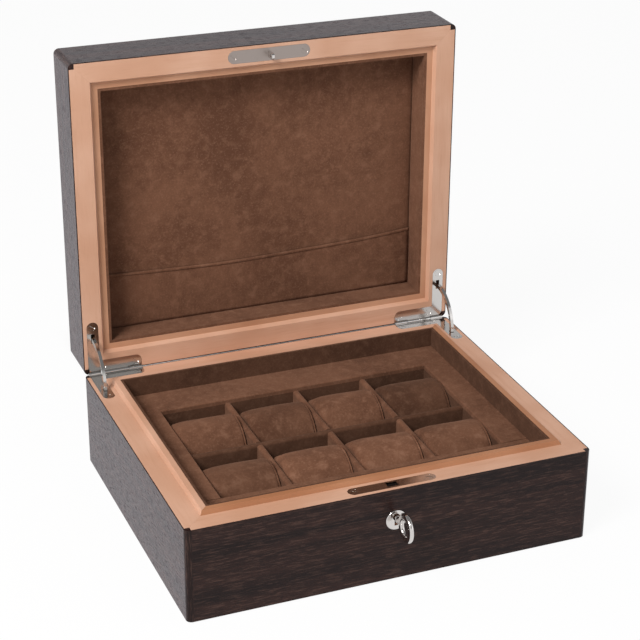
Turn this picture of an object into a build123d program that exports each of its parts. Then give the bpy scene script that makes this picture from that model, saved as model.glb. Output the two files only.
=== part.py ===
from build123d import *
import os

# A wooden watch box, open, with eight pillows in its tray.
# The origin is the middle of the underside, the front faces -Y and +Z is up.
# The lid stands open at a right angle, so its rim faces the front.

# Outside sizes, in millimetres
box_width = 340.0
box_depth = 275.0
rim_height = 81.0
lid_height = 44.0
rim_gap = 0.6

# Wood thicknesses of the walls
veneer_thickness = 0.8
post_size = 5.0
post_round = 4.5
felt_thickness = 1.0
felt_inset = 2.0
bottom_thickness = 6.0
glue_line = 0.05

# The base's walls and the lip that rises inside them
base_wall = 17.8
lip_thickness = 6.5
lip_rise = 3.5
lip_slope = 1.9
liner_thickness = 2.2
liner_drop = 0.3

# The ledge and the tray
ledge_height = 67.2
ledge_thickness = 4.0
side_ledge_width = 22.05
front_ledge_width = 33.5
ledge_round = 1.2
tray_floor_thickness = 3.0
tray_wall_thickness = 4.0
divider_thickness = 5.5
divider_top = 64.0
divider_round = 2.5
lap_clearance = 0.1
columns = 4

# Watch pillows
pillow_radius = 29.0
pillow_end_gap = 1.0
pillow_floor_gap = 0.5
pillow_flat = 0.3
back_pillow_shift = 3.4
front_pillow_shift = 1.1

# A pillow's outline: place along its length from the middle, and share of its radius
pillow_profile = [
    (-0.500, 0.60),
    (-0.478, 0.80),
    (-0.400, 0.955),
    (-0.200, 1.0),
    (0.150, 1.0),
    (0.390, 0.992),
    (0.480, 0.972),
    (0.500, 0.94),
]

# The lid's walls, lining and top
lid_wall = 17.3
lid_slope = 2.0
strip_drop = 4.0
strip_thickness = 5.1
lid_liner_thickness = 2.3
lid_liner_drop = 4.2
panel_drop = 28.0
panel_thickness = 8.0
pocket_thickness = 1.2
pocket_left_height = 78.0
pocket_middle_height = 74.0
pocket_right_height = 81.0
pocket_edge_gap = 0.3

# Hinges: two L-shaped leaves each, with a barrel on the back edge
leaf_thickness = 1.6
leaf_width = 10.0
leaf_fit = 0.1
side_arm_inset = 9.0
side_arm_reach = 48.0
back_arm_inset = 6.7
back_arm_end_inset = 50.8
barrel_radius = 2.0
barrel_relief = 0.35
pin_radius = 0.9
pin_fit = 0.05
knuckle_gap = 0.3
first_knuckle = 11.8
last_knuckle = 11.5

# Quadrant stays that slide in mortises under the leaves
stay_radius = 32.25
stay_width = 3.5
stay_thickness = 2.6
stay_overrun = 6.5
stay_head_radius = 1.2
stay_head_length = 5.4
stay_slot_fit = 0.3
stay_slot_length = 5.1
mortise_width = 6.4
mortise_inner = 29.6
mortise_outer = 37.0
mortise_margin = 1.0
mortise_sweep = 56.0

# Countersunk screws
screw_head_radius = 3.0
screw_shank_radius = 1.5
screw_length = 13.0
screw_tip = 1.5
screw_slot_width = 0.7
screw_slot_depth = 0.6
screw_slot_turn = 35.0
screw_fit = 0.05
side_screw_y_inset = 44.0
outer_screw_inset = 17.0
inner_screw_inset = 46.0

# Box lock, strike and key
lock_inset = 9.2
faceplate_length = 73.6
faceplate_width = 10.0
strike_length = 72.0
strike_width = 11.0
plate_thickness = 1.6
lock_screw_x = 31.5
hook_slot_length = 9.0
hook_slot_width = 6.0
hook_thickness = 2.2
hook_width = 5.0
hook_height = 9.5
hook_eye_radius = 1.8
hook_eye_height = 6.0
case_length = 38.0
case_height = 34.4
case_wall = 1.2
bolt_radius = 1.5
bolt_start = 2.0
bolt_pin_length = 5.0
bolt_length = 9.0
bolt_height = 8.2
bolt_fit = 0.2
bolt_tail_thickness = 2.0
bolt_tail_drop = 11.0
bolt_notch_radius = 3.0
key_height = 57.0
key_shank_radius = 1.9
key_fit = 0.07
key_tip_gap = 0.5
key_bit_reach = 6.6
key_bit_thickness = 2.0
key_bit_length = 2.8
key_bit_setback = 2.3
bow_outer_radius = 12.0
bow_hole_radius = 6.5
bow_thickness = 3.6
bow_round = 1.6
bow_distance = 19.0
bow_bury = 3.0
collar_radius = 2.9
collar_length = 2.0
escutcheon_radius = 8.5
escutcheon_height = 54.2
escutcheon_proud = 0.6
escutcheon_round = 0.5
escutcheon_fit = 0.05
keyhole_radius = 3.0
keyhole_slit = 2.8
keyhole_reach = 7.4

# Values that follow from the sizes above
half_width = box_width / 2
half_depth = box_depth / 2
axis_rise = rim_gap / 2
hinge_height = rim_height + axis_rise
lip_inner = base_wall + lip_thickness
liner_inner = lip_inner + liner_thickness
bottom_top = felt_thickness + bottom_thickness
tray_floor_top = bottom_top + tray_floor_thickness
ledge_underside = ledge_height - ledge_thickness
tray_half_width = half_width - liner_inner - side_ledge_width
tray_half_depth = half_depth - liner_inner - front_ledge_width
compartment_width = (2 * tray_half_width - (columns - 1) * divider_thickness) / columns
compartment_depth = tray_half_depth - divider_thickness / 2
column_pitch = compartment_width + divider_thickness
divider_height = divider_top - tray_floor_top
lid_wall_inner = lid_wall + lid_slope
strip_inner = lid_wall_inner + strip_thickness
lid_liner_inner = strip_inner + lid_liner_thickness
lid_core_drop = panel_drop + panel_thickness
lid_board_height = lid_height - veneer_thickness
lock_y = half_depth - lock_inset
case_width = faceplate_width
hook_eye_z = rim_height + rim_gap - hook_eye_height
side_arm_x = half_width - side_arm_inset
back_arm_y = half_depth - back_arm_inset
back_arm_end = half_width - back_arm_end_inset
barrel_end = side_arm_x + leaf_width / 2
barrel_length = barrel_end - back_arm_end

# Reference planes: the base's floor, both rims seen into the wood, and the front
base_frame = Plane.XY
base_rim = Plane(origin=(0, 0, rim_height), x_dir=(-1, 0, 0), z_dir=(0, 0, -1))
lid_frame = Plane(
    origin=(0, half_depth + axis_rise, hinge_height + half_depth), x_dir=(1, 0, 0), z_dir=(0, 1, 0)
)
front_face = Plane(origin=(0, -half_depth, 0), x_dir=(1, 0, 0), z_dir=(0, -1, 0))

outward = {
    "front": Vector(0, -1, 0),
    "back": Vector(0, 1, 0),
    "left": Vector(-1, 0, 0),
    "right": Vector(1, 0, 0),
}


def save(piece, label):
    """Name a finished piece and write it."""
    piece.label = label
    export_step(piece, f"parts/{label}.step")


def facing(frame, vector):
    """Turn a direction of a frame into a direction of the box."""
    return frame.from_local_coords(vector) - frame.from_local_coords(Vector(0, 0, 0))


def band(inner, outer, low, high):
    """Corners of a rectangular section, from its insets and heights."""
    return [(inner, low), (outer, low), (outer, high), (inner, high)]


def notch_corners(frame, size):
    """Cut the four corner posts' squares out of the current part."""
    with BuildSketch(frame) as squares:
        with GridLocations(box_width - size, box_depth - size, 2, 2):
            Rectangle(size, size)
    extrude(squares.sketch, amount=rim_height + lip_rise, mode=Mode.SUBTRACT)


def frame_side(frame, side, section):
    """One mitred side of a rectangular frame, drawn as inset and height points."""
    out = outward[side]
    along = Vector(-out.Y, out.X, 0)
    reach = half_depth if out.X == 0 else half_width
    half_run = half_width if out.X == 0 else half_depth
    inward = facing(frame, out * -1)
    section_plane = Plane(
        origin=frame.from_local_coords(out * reach), x_dir=inward, z_dir=inward.cross(frame.z_dir)
    )
    with BuildPart() as board:
        with BuildSketch(section_plane):
            with BuildLine():
                Polyline(*section, close=True)
            make_face()
        extrude(amount=half_run, both=True)
        for end in (along, along * -1):
            normal = (out * -1 + end).normalized()
            corner = out * reach + end * half_run - normal * (glue_line / 2)
            mitre = Plane(origin=frame.from_local_coords(corner), z_dir=facing(frame, normal))
            split(bisect_by=mitre, keep=Keep.BOTTOM)
        if section[0][0] < post_size:
            notch_corners(frame, post_size)
    return board.part


def frame_ring(frame, section):
    """All four sides of a rectangular frame, as separate pieces."""
    with BuildPart() as ring:
        for side in outward:
            add(frame_side(frame, side, section))
    return ring.part


def slab(low, high):
    """A rectangular piece between two corners."""
    with BuildPart() as piece:
        with BuildSketch(Plane.XY.offset(low[2])):
            with Locations(((low[0] + high[0]) / 2, (low[1] + high[1]) / 2)):
                Rectangle(high[0] - low[0], high[1] - low[1])
        extrude(amount=high[2] - low[2])
    return piece.part


def corner_posts(frame, low, high):
    """Four square posts with rounded outer edges."""
    with BuildPart() as posts:
        with BuildSketch(frame.offset(low)) as outline:
            Rectangle(box_width, box_depth)
            fillet(outline.vertices(), post_round)
            Rectangle(box_width - 2 * post_size, box_depth, mode=Mode.SUBTRACT)
            Rectangle(box_width, box_depth - 2 * post_size, mode=Mode.SUBTRACT)
        extrude(amount=high - low)
    return posts.part


def turn_screw(plane, point, clearance=0.0, mode=Mode.ADD):
    """Revolve a countersunk screw, or with a clearance the hole that it sits in."""
    seat = Plane(
        origin=plane.from_local_coords((point[0], point[1], 0)), x_dir=plane.x_dir, z_dir=-plane.y_dir
    )
    head = screw_head_radius + clearance
    shank = screw_shank_radius + clearance
    with BuildSketch(seat) as profile:
        with BuildLine():
            Polyline(
                (0, 0),
                (head, 0),
                (shank, leaf_thickness),
                (shank, screw_length - screw_tip),
                (0, screw_length + clearance),
                close=True,
            )
        make_face()
    revolve(profile.sketch, axis=Axis(seat.origin, plane.z_dir), mode=mode)


def screws(plane, points):
    """A set of screws, each with a driver's slot."""
    with BuildPart() as group:
        for point in points:
            turn_screw(plane, point)
        with BuildSketch(plane):
            with Locations(*points):
                Rectangle(2 * screw_head_radius, screw_slot_width, rotation=screw_slot_turn)
        extrude(amount=screw_slot_depth, mode=Mode.SUBTRACT)
    return group.part


def leaf_screw_points(side):
    """Places of the three screws of a leaf on one side."""
    return [
        (side * side_arm_x, half_depth - side_screw_y_inset),
        (side * (half_width - outer_screw_inset), back_arm_y),
        (side * (half_width - inner_screw_inset), back_arm_y),
    ]


def barrel_plane(rim, x):
    """A plane across the hinge axis at one place along it."""
    return Plane(
        origin=rim.from_local_coords((x, half_depth, -axis_rise)), x_dir=rim.y_dir, z_dir=rim.x_dir
    )


def barrel(rim, side, start, end, radius, mode=Mode.ADD):
    """A cylinder on the hinge axis between two distances from the middle."""
    first = min(side * start, side * end)
    with BuildSketch(barrel_plane(rim, first)) as round_section:
        Circle(radius)
    extrude(round_section.sketch, amount=end - start, mode=mode)


def leaf_arms(side, growth):
    """The outline of a leaf's two arms, in the current sketch."""
    arm_middle = half_depth - (side_arm_reach + back_arm_inset - leaf_width / 2) / 2
    with Locations((side * side_arm_x, arm_middle)):
        SlotOverall(
            side_arm_reach - back_arm_inset + leaf_width / 2 + 2 * growth,
            leaf_width + 2 * growth,
            rotation=90,
        )
    with Locations((side * (back_arm_end + barrel_end) / 2, back_arm_y)):
        SlotOverall(barrel_length + 2 * growth, leaf_width + 2 * growth)


def barrel_web(side, start, end, reach):
    """A strip from the back arm out to the barrel, in the current sketch."""
    depth = half_depth + reach - back_arm_y
    with Locations((side * (start + end) / 2, back_arm_y + depth / 2)):
        Rectangle(end - start, depth)


def knuckle_spans(lid):
    """Distances along the axis that the base's or the lid's knuckles take."""
    inner = back_arm_end + first_knuckle
    outer = barrel_end - last_knuckle
    if lid:
        return [(inner + knuckle_gap, outer - knuckle_gap)]
    return [(back_arm_end, inner), (outer, barrel_end)]


def hinge_leaf(rim, side, lid, slot_inner, slot_outer):
    """An L-shaped leaf with its knuckles, screw holes and the stay's slot."""
    own = knuckle_spans(lid)
    with BuildPart() as leaf:
        with BuildSketch(rim):
            leaf_arms(side, 0)
            for start, end in own:
                barrel_web(side, start, end, 0)
        extrude(amount=leaf_thickness)
        for start, end in knuckle_spans(not lid):
            relief = barrel_radius + barrel_relief
            barrel(rim, side, start - knuckle_gap, end + knuckle_gap, relief, Mode.SUBTRACT)
        for start, end in own:
            barrel(rim, side, start, end, barrel_radius)
        bore = pin_radius + pin_fit
        barrel(rim, side, back_arm_end, barrel_end, bore, Mode.SUBTRACT)
        with BuildSketch(rim):
            with Locations((side * side_arm_x, half_depth - (slot_inner + slot_outer) / 2)):
                Rectangle(stay_thickness + 2 * stay_slot_fit, slot_outer - slot_inner)
        extrude(amount=leaf_thickness, mode=Mode.SUBTRACT)
        for point in leaf_screw_points(side):
            turn_screw(rim, point, screw_fit, Mode.SUBTRACT)
    return leaf.part


def cut_hinge_fittings(rim):
    """Cut both leaves' seats, the barrels' relief, screw holes and stay mortises."""
    for side in (-1, 1):
        start = back_arm_end - knuckle_gap
        end = barrel_end + knuckle_gap
        with BuildSketch(rim) as seat:
            leaf_arms(side, leaf_fit)
            barrel_web(side, start, end, barrel_radius)
        extrude(seat.sketch, amount=leaf_thickness, mode=Mode.SUBTRACT)
        barrel(rim, side, start, end, barrel_radius + barrel_relief, Mode.SUBTRACT)
        for point in leaf_screw_points(side):
            turn_screw(rim, point, screw_fit, Mode.SUBTRACT)
        with BuildSketch(rim.offset(-axis_rise)) as mouth:
            with Locations((side * side_arm_x, half_depth - (mortise_inner + mortise_outer) / 2)):
                Rectangle(mortise_width, mortise_outer - mortise_inner)
        axis = Axis(rim.from_local_coords((0, half_depth, -axis_rise)), -rim.x_dir)
        revolve(mouth.sketch, axis=axis, revolution_arc=mortise_sweep, mode=Mode.SUBTRACT)


def quadrant_stay(x):
    """A curved flat arm with a small cross pin at each end."""
    middle = Plane(origin=(x, half_depth, hinge_height), x_dir=(0, -1, 0), z_dir=(-1, 0, 0))
    inner = stay_radius - stay_width / 2
    outer = stay_radius + stay_width / 2
    sweep = 90 + 2 * stay_overrun
    with BuildPart() as stay:
        with BuildSketch(middle):
            with BuildLine():
                near = CenterArc((0, 0), inner, -stay_overrun, sweep)
                far = CenterArc((0, 0), outer, -stay_overrun, sweep)
                Line(near @ 0, far @ 0)
                Line(near @ 1, far @ 1)
            make_face()
        extrude(amount=stay_thickness / 2, both=True)
        with BuildSketch(middle):
            with PolarLocations(stay_radius, 2, -stay_overrun, sweep, endpoint=True):
                Circle(stay_head_radius)
        extrude(amount=stay_head_length / 2, both=True)
    return stay.part


def keyhole(radius, slit):
    """A round hole with a slit below it, in the current sketch."""
    with Locations((0, key_height)):
        Circle(radius)
    with Locations((0, key_height - keyhole_reach / 2)):
        Rectangle(slit, keyhole_reach)


def pillow(x, y):
    """A watch pillow along X: crowned, drawn in at its ends, with a flat underneath."""
    length = compartment_width - 2 * pillow_end_gap
    z = tray_floor_top + pillow_floor_gap + pillow_radius - pillow_flat
    with BuildPart() as cushion:
        for place, share in pillow_profile:
            radius = pillow_radius * share
            flat = radius - pillow_flat
            half_flat = (radius**2 - flat**2) ** 0.5
            with BuildSketch(Plane.YZ.offset(x + place * length)):
                with BuildLine():
                    Line((y - half_flat, z - flat), (y + half_flat, z - flat))
                    ThreePointArc((y + half_flat, z - flat), (y + radius, z), (y, z + radius))
                    ThreePointArc((y, z + radius), (y - radius, z), (y - half_flat, z - flat))
                make_face()
        loft(ruled=False)
    return cushion.part


os.makedirs("parts", exist_ok=True)

# The base's outer walls, with the seats of the hinges and of the lock
for side in outward:
    with BuildPart() as wall:
        add(frame_side(base_frame, side, band(veneer_thickness, base_wall, felt_thickness, rim_height)))
        if side == "front":
            with BuildSketch(base_rim):
                with Locations((0, -lock_y)):
                    SlotOverall(faceplate_length + 2 * leaf_fit, faceplate_width + 2 * leaf_fit)
            extrude(amount=plate_thickness, mode=Mode.SUBTRACT)
            with BuildSketch(base_rim):
                with Locations((0, -lock_y)):
                    Rectangle(case_length + 2 * leaf_fit, case_width + 2 * leaf_fit)
            extrude(amount=plate_thickness + case_height + leaf_fit, mode=Mode.SUBTRACT)
            with BuildSketch(front_face):
                keyhole(keyhole_radius, keyhole_slit)
            extrude(amount=-lock_inset, mode=Mode.SUBTRACT)
            for x in (-lock_screw_x, lock_screw_x):
                turn_screw(base_rim, (x, -lock_y), screw_fit, Mode.SUBTRACT)
        else:
            cut_hinge_fittings(base_rim)
    save(wall.part, f"base_{side}_board")

# The lip that stands inside the walls, bevelled at its top outer edge
lip_section = [
    (base_wall, bottom_top),
    (lip_inner, bottom_top),
    (lip_inner, rim_height + lip_rise),
    (base_wall + lip_slope, rim_height + lip_rise),
    (base_wall, rim_height),
]
for side in outward:
    save(frame_side(base_frame, side, lip_section), f"lip_{side}_board")

# Dark veneer on the four outside faces, and the posts at its corners
with BuildPart() as base_veneers:
    add(frame_ring(base_frame, band(0, veneer_thickness, felt_thickness, rim_height)))
    cut_hinge_fittings(base_rim)
    with BuildSketch(front_face):
        with Locations((0, escutcheon_height)):
            Circle(escutcheon_radius + escutcheon_fit)
    extrude(amount=-veneer_thickness, mode=Mode.SUBTRACT)
save(base_veneers.part, "base_veneers")

with BuildPart() as base_corner_posts:
    add(corner_posts(base_frame, felt_thickness, rim_height))
    cut_hinge_fittings(base_rim)
save(base_corner_posts.part, "base_corner_posts")

bottom_x = half_width - base_wall
bottom_y = half_depth - base_wall
save(slab((-bottom_x, -bottom_y, felt_thickness), (bottom_x, bottom_y, bottom_top)), "bottom_panel")
felt_x = half_width - felt_inset
felt_y = half_depth - felt_inset
with BuildPart() as bottom_felt:
    add(slab((-felt_x, -felt_y, 0), (felt_x, felt_y, felt_thickness)))
    fillet(bottom_felt.edges().filter_by(Axis.Z), post_round)
save(bottom_felt.part, "bottom_felt")

liner_section = band(lip_inner, liner_inner, ledge_height, rim_height + lip_rise - liner_drop)
save(frame_ring(base_frame, liner_section), "wall_liners")

# The ledge: long boards at the front and back, short ones between them
ledge_x = half_width - lip_inner
ledge_y = half_depth - lip_inner
for side, sign in (("front", -1), ("back", 1)):
    with BuildPart() as ledge:
        near = min(sign * tray_half_depth, sign * ledge_y)
        far = max(sign * tray_half_depth, sign * ledge_y)
        add(slab((-ledge_x, near, ledge_underside), (ledge_x, far, ledge_height)))
        rims = ledge.edges().filter_by(Axis.X).group_by(Axis.Z)[-1].sort_by(Axis.Y)
        fillet(rims[-1] if sign < 0 else rims[0], ledge_round)
    save(ledge.part, f"ledge_{side}_board")
for side, sign in (("left", -1), ("right", 1)):
    with BuildPart() as ledge:
        near = min(sign * tray_half_width, sign * ledge_x)
        far = max(sign * tray_half_width, sign * ledge_x)
        short = tray_half_depth - glue_line
        add(slab((near, -short, ledge_underside), (far, short, ledge_height)))
        rims = ledge.edges().filter_by(Axis.Y).group_by(Axis.Z)[-1].sort_by(Axis.X)
        fillet(rims[-1] if sign < 0 else rims[0], ledge_round)
    save(ledge.part, f"ledge_{side}_board")

# The tray under the ledge: floor, four walls and crossed dividers
save(slab((-ledge_x, -ledge_y, bottom_top), (ledge_x, ledge_y, tray_floor_top)), "tray_floor")

with BuildPart() as tray_walls:
    wall_x = tray_half_width + tray_wall_thickness
    wall_y = tray_half_depth + tray_wall_thickness
    for sign in (-1, 1):
        near = min(sign * tray_half_depth, sign * wall_y)
        far = max(sign * tray_half_depth, sign * wall_y)
        add(slab((-wall_x, near, tray_floor_top), (wall_x, far, ledge_underside)))
        near = min(sign * tray_half_width, sign * wall_x)
        far = max(sign * tray_half_width, sign * wall_x)
        short = tray_half_depth - glue_line
        add(slab((near, -short, tray_floor_top), (far, short, ledge_underside)))
save(tray_walls.part, "tray_walls")

column_places = [(i - columns / 2) * column_pitch for i in range(1, columns)]
lap_width = divider_thickness + 2 * lap_clearance
lap_height = tray_floor_top + divider_height / 2

with BuildPart() as row_divider:
    with BuildSketch(Plane.YZ.offset(-tray_half_width)) as profile:
        with Locations((0, tray_floor_top + divider_height / 2)):
            Rectangle(divider_thickness, divider_height)
        fillet(profile.vertices().group_by(Axis.Z)[-1], divider_round)
    extrude(amount=2 * tray_half_width)
    with BuildSketch(Plane.XY.offset(tray_floor_top)):
        with Locations(*[(x, 0) for x in column_places]):
            Rectangle(lap_width, divider_thickness)
    extrude(amount=divider_height / 2 + lap_clearance, mode=Mode.SUBTRACT)
save(row_divider.part, "row_divider")

with BuildPart() as column_dividers:
    with BuildSketch(Plane.XZ.offset(-tray_half_depth)) as profile:
        with Locations(*[(x, tray_floor_top + divider_height / 2) for x in column_places]):
            Rectangle(divider_thickness, divider_height)
        fillet(profile.vertices().group_by(Axis.Z)[-1], divider_round)
    extrude(amount=2 * tray_half_depth)
    with BuildSketch(Plane.XY.offset(lap_height)):
        Rectangle(2 * tray_half_width, lap_width)
    extrude(amount=divider_height, mode=Mode.SUBTRACT)
save(column_dividers.part, "column_dividers")

# Eight pillows, in two rows
for row, y in (
    ("back", divider_thickness / 2 + compartment_depth / 2 + back_pillow_shift),
    ("front", -divider_thickness / 2 - compartment_depth / 2 + front_pillow_shift),
):
    for number in range(columns):
        x = (number + 0.5 - columns / 2) * column_pitch
        save(pillow(x, y), f"{row}_pillow_{number + 1}")

# The lid's walls, with the seats of the hinges and of the strike
lid_section = [
    (veneer_thickness, 0),
    (lid_wall, 0),
    (lid_wall_inner, strip_drop),
    (lid_wall_inner, lid_board_height),
    (veneer_thickness, lid_board_height),
]
for side in outward:
    with BuildPart() as wall:
        add(frame_side(lid_frame, side, lid_section))
        if side == "front":
            with BuildSketch(lid_frame):
                with Locations((0, -lock_y)):
                    SlotOverall(strike_length + 2 * leaf_fit, strike_width + 2 * leaf_fit)
            extrude(amount=plate_thickness, mode=Mode.SUBTRACT)
            for x in (-lock_screw_x, lock_screw_x):
                turn_screw(lid_frame, (x, -lock_y), screw_fit, Mode.SUBTRACT)
        else:
            cut_hinge_fittings(lid_frame)
    save(wall.part, f"lid_{side}_board")

save(
    frame_ring(lid_frame, band(lid_wall_inner, strip_inner, strip_drop, lid_core_drop)),
    "lid_frame_strips",
)
save(frame_ring(lid_frame, band(strip_inner, lid_liner_inner, lid_liner_drop, panel_drop)), "lid_liners")

with BuildPart() as lid_side_veneers:
    add(frame_ring(lid_frame, band(0, veneer_thickness, 0, lid_board_height)))
    cut_hinge_fittings(lid_frame)
save(lid_side_veneers.part, "lid_side_veneers")

with BuildPart() as lid_corner_posts:
    add(corner_posts(lid_frame, 0, lid_height))
    cut_hinge_fittings(lid_frame)
save(lid_corner_posts.part, "lid_corner_posts")

# The lid's padded panel, its pocket, and the top
with BuildPart() as lid_padded_panel:
    with BuildSketch(lid_frame.offset(panel_drop)):
        Rectangle(box_width - 2 * strip_inner, box_depth - 2 * strip_inner)
    extrude(amount=panel_thickness)
save(lid_padded_panel.part, "lid_padded_panel")

with BuildPart() as lid_pocket:
    pocket_x = half_width - lid_liner_inner - pocket_edge_gap
    pocket_low = half_depth - lid_liner_inner - pocket_edge_gap
    with BuildSketch(lid_frame.offset(panel_drop - pocket_thickness)):
        with BuildLine():
            Polyline(
                (-pocket_x, half_depth - pocket_left_height),
                (-pocket_x, pocket_low),
                (pocket_x, pocket_low),
                (pocket_x, half_depth - pocket_right_height),
            )
            ThreePointArc(
                (pocket_x, half_depth - pocket_right_height),
                (0, half_depth - pocket_middle_height),
                (-pocket_x, half_depth - pocket_left_height),
            )
        make_face()
    extrude(amount=pocket_thickness)
save(lid_pocket.part, "lid_pocket")

with BuildPart() as lid_top_panel:
    with BuildSketch(lid_frame.offset(lid_core_drop)):
        Rectangle(box_width - 2 * lid_wall_inner, box_depth - 2 * lid_wall_inner)
    extrude(amount=lid_board_height - lid_core_drop)
save(lid_top_panel.part, "lid_top_panel")

with BuildPart() as lid_top_veneer:
    with BuildSketch(lid_frame.offset(lid_board_height)):
        Rectangle(box_width, box_depth)
        with GridLocations(box_width - post_size, box_depth - post_size, 2, 2):
            Rectangle(post_size, post_size, mode=Mode.SUBTRACT)
    extrude(amount=veneer_thickness)
save(lid_top_veneer.part, "lid_top_veneer")

# Hinges and stays. The base's rim is drawn from below, so its sides are swapped.
slot_middle = stay_radius
slot_half = stay_slot_length / 2
for name, sign in (("left", -1), ("right", 1)):
    base_leaf = hinge_leaf(base_rim, -sign, False, slot_middle - slot_half, slot_middle + slot_half)
    save(base_leaf, f"{name}_base_leaf")
    save(hinge_leaf(lid_frame, sign, True, mortise_inner - mortise_margin, mortise_outer), f"{name}_lid_leaf")
    save(quadrant_stay(sign * side_arm_x), f"{name}_stay")

with BuildPart() as hinge_pins:
    for sign in (-1, 1):
        barrel(lid_frame, sign, back_arm_end, barrel_end, pin_radius)
save(hinge_pins.part, "hinge_pins")

leaf_points = leaf_screw_points(-1) + leaf_screw_points(1)
save(screws(base_rim, leaf_points), "base_leaf_screws")
save(screws(lid_frame, leaf_points), "lid_leaf_screws")

# Lock in the base's front wall, strike and hook in the lid's
lock_points = [(-lock_screw_x, -lock_y), (lock_screw_x, -lock_y)]
with BuildPart() as lock_faceplate:
    with BuildSketch(base_rim):
        with Locations((0, -lock_y)):
            SlotOverall(faceplate_length, faceplate_width)
            Rectangle(hook_slot_length, hook_slot_width, mode=Mode.SUBTRACT)
    extrude(amount=plate_thickness)
    for point in lock_points:
        turn_screw(base_rim, point, screw_fit, Mode.SUBTRACT)
save(lock_faceplate.part, "lock_faceplate")

with BuildPart() as lock_case:
    with BuildSketch(base_rim.offset(plate_thickness)):
        with Locations((0, -lock_y)):
            Rectangle(case_length, case_width)
    extrude(amount=case_height)
    with BuildSketch(base_rim.offset(plate_thickness)):
        with Locations((0, -lock_y)):
            Rectangle(case_length - 2 * case_wall, case_width - 2 * case_wall)
    extrude(amount=case_height - case_wall, mode=Mode.SUBTRACT)
    with BuildSketch(front_face):
        keyhole(key_shank_radius + key_fit, keyhole_slit)
    extrude(amount=-lock_inset, mode=Mode.SUBTRACT)
save(lock_case.part, "lock_case")

with BuildPart() as strike_plate:
    with BuildSketch(lid_frame):
        with Locations((0, -lock_y)):
            SlotOverall(strike_length, strike_width)
            Rectangle(hook_thickness + 2 * screw_fit, hook_width + 2 * screw_fit, mode=Mode.SUBTRACT)
    extrude(amount=plate_thickness)
    for point in lock_points:
        turn_screw(lid_frame, point, screw_fit, Mode.SUBTRACT)
save(strike_plate.part, "strike_plate")

with BuildPart() as strike_hook:
    hook_side = Plane(
        origin=lid_frame.from_local_coords((0, -lock_y, 0)), x_dir=lid_frame.y_dir, z_dir=lid_frame.x_dir
    )
    with BuildSketch(hook_side):
        with Locations((0, (plate_thickness - hook_height) / 2)):
            Rectangle(hook_width, hook_height + plate_thickness)
        with Locations((0, -hook_eye_height)):
            Circle(hook_eye_radius, mode=Mode.SUBTRACT)
    extrude(amount=hook_thickness / 2, both=True)
    tips = strike_hook.edges().filter_by(Axis.X).group_by(Axis.Y)[0]
    fillet(tips, hook_width / 3)
save(strike_hook.part, "strike_hook")

save(screws(base_rim, lock_points), "lock_screws")
save(screws(lid_frame, lock_points), "strike_screws")

with BuildPart() as escutcheon:
    with BuildSketch(front_face.offset(-veneer_thickness)):
        with Locations((0, escutcheon_height)):
            Circle(escutcheon_radius)
    extrude(amount=veneer_thickness + escutcheon_proud)
    fillet(escutcheon.edges().filter_by(GeomType.CIRCLE).sort_by(Axis.Y)[0], escutcheon_round)
    with BuildSketch(front_face.offset(escutcheon_proud)):
        keyhole(keyhole_radius, keyhole_slit)
    extrude(amount=-veneer_thickness - escutcheon_proud, mode=Mode.SUBTRACT)
save(escutcheon.part, "escutcheon")

# The bolt slides under the faceplate, with a notched tail behind the key's bit
bolt_back = -lock_y + case_width / 2 - case_wall - bolt_fit
bolt_front = -lock_y - case_width / 2 + case_wall + bolt_fit
bolt_top = rim_height - plate_thickness - bolt_fit
bolt_x = bolt_start + bolt_pin_length
with BuildPart() as lock_bolt:
    add(slab((bolt_x, bolt_front, bolt_top - bolt_height), (bolt_x + bolt_length, bolt_back, bolt_top)))
    tail_top = bolt_top - bolt_height
    add(
        slab(
            (bolt_x, bolt_back - bolt_tail_thickness, tail_top - bolt_tail_drop),
            (bolt_x + bolt_length, bolt_back, tail_top),
        )
    )
    with BuildSketch(Plane.YZ.offset(bolt_start)):
        with Locations((-lock_y, hook_eye_z)):
            Circle(bolt_radius)
    extrude(amount=bolt_pin_length)
    with BuildSketch(front_face):
        with Locations((bolt_x + bolt_length / 2, tail_top - bolt_tail_drop)):
            Circle(bolt_notch_radius)
    extrude(amount=-2 * lock_inset, mode=Mode.SUBTRACT)
save(lock_bolt.part, "lock_bolt")

# The key: a rounded ring bow, a shank with a collar, and a bit that hangs down
bow_y = -half_depth - bow_distance
shank_tip = -lock_y + case_width / 2 - case_wall - key_tip_gap
with BuildPart() as key:
    bow_section = Plane(origin=(0, bow_y, key_height), x_dir=(0, -1, 0), z_dir=(0, 0, 1))
    with BuildSketch(bow_section):
        with Locations(((bow_outer_radius + bow_hole_radius) / 2, 0)):
            RectangleRounded(bow_outer_radius - bow_hole_radius, bow_thickness, bow_round)
    revolve(axis=Axis((0, bow_y, key_height), (1, 0, 0)))
    shank_start = bow_y + bow_outer_radius - bow_bury
    with BuildSketch(Plane.XZ.offset(-shank_start)):
        with Locations((0, key_height)):
            Circle(key_shank_radius)
    extrude(amount=shank_start - shank_tip)
    with BuildSketch(Plane.XZ.offset(-bow_y - bow_outer_radius)):
        with Locations((0, key_height)):
            Circle(collar_radius)
    extrude(amount=-collar_length)
    bit_back = shank_tip - key_bit_setback
    add(
        slab(
            (-key_bit_thickness / 2, bit_back - key_bit_length, key_height - key_bit_reach),
            (key_bit_thickness / 2, bit_back, key_height),
        )
    )
save(key.part, "key")
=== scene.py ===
"""Looks of a wooden watch box: dark veneer outside, light wood rims, suede lining and pillows."""

import logging
import math
from dataclasses import dataclass
from enum import Enum
from typing import Any, Callable, Union

import bmesh
import bpy
from mathutils import Matrix, Vector, noise


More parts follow.
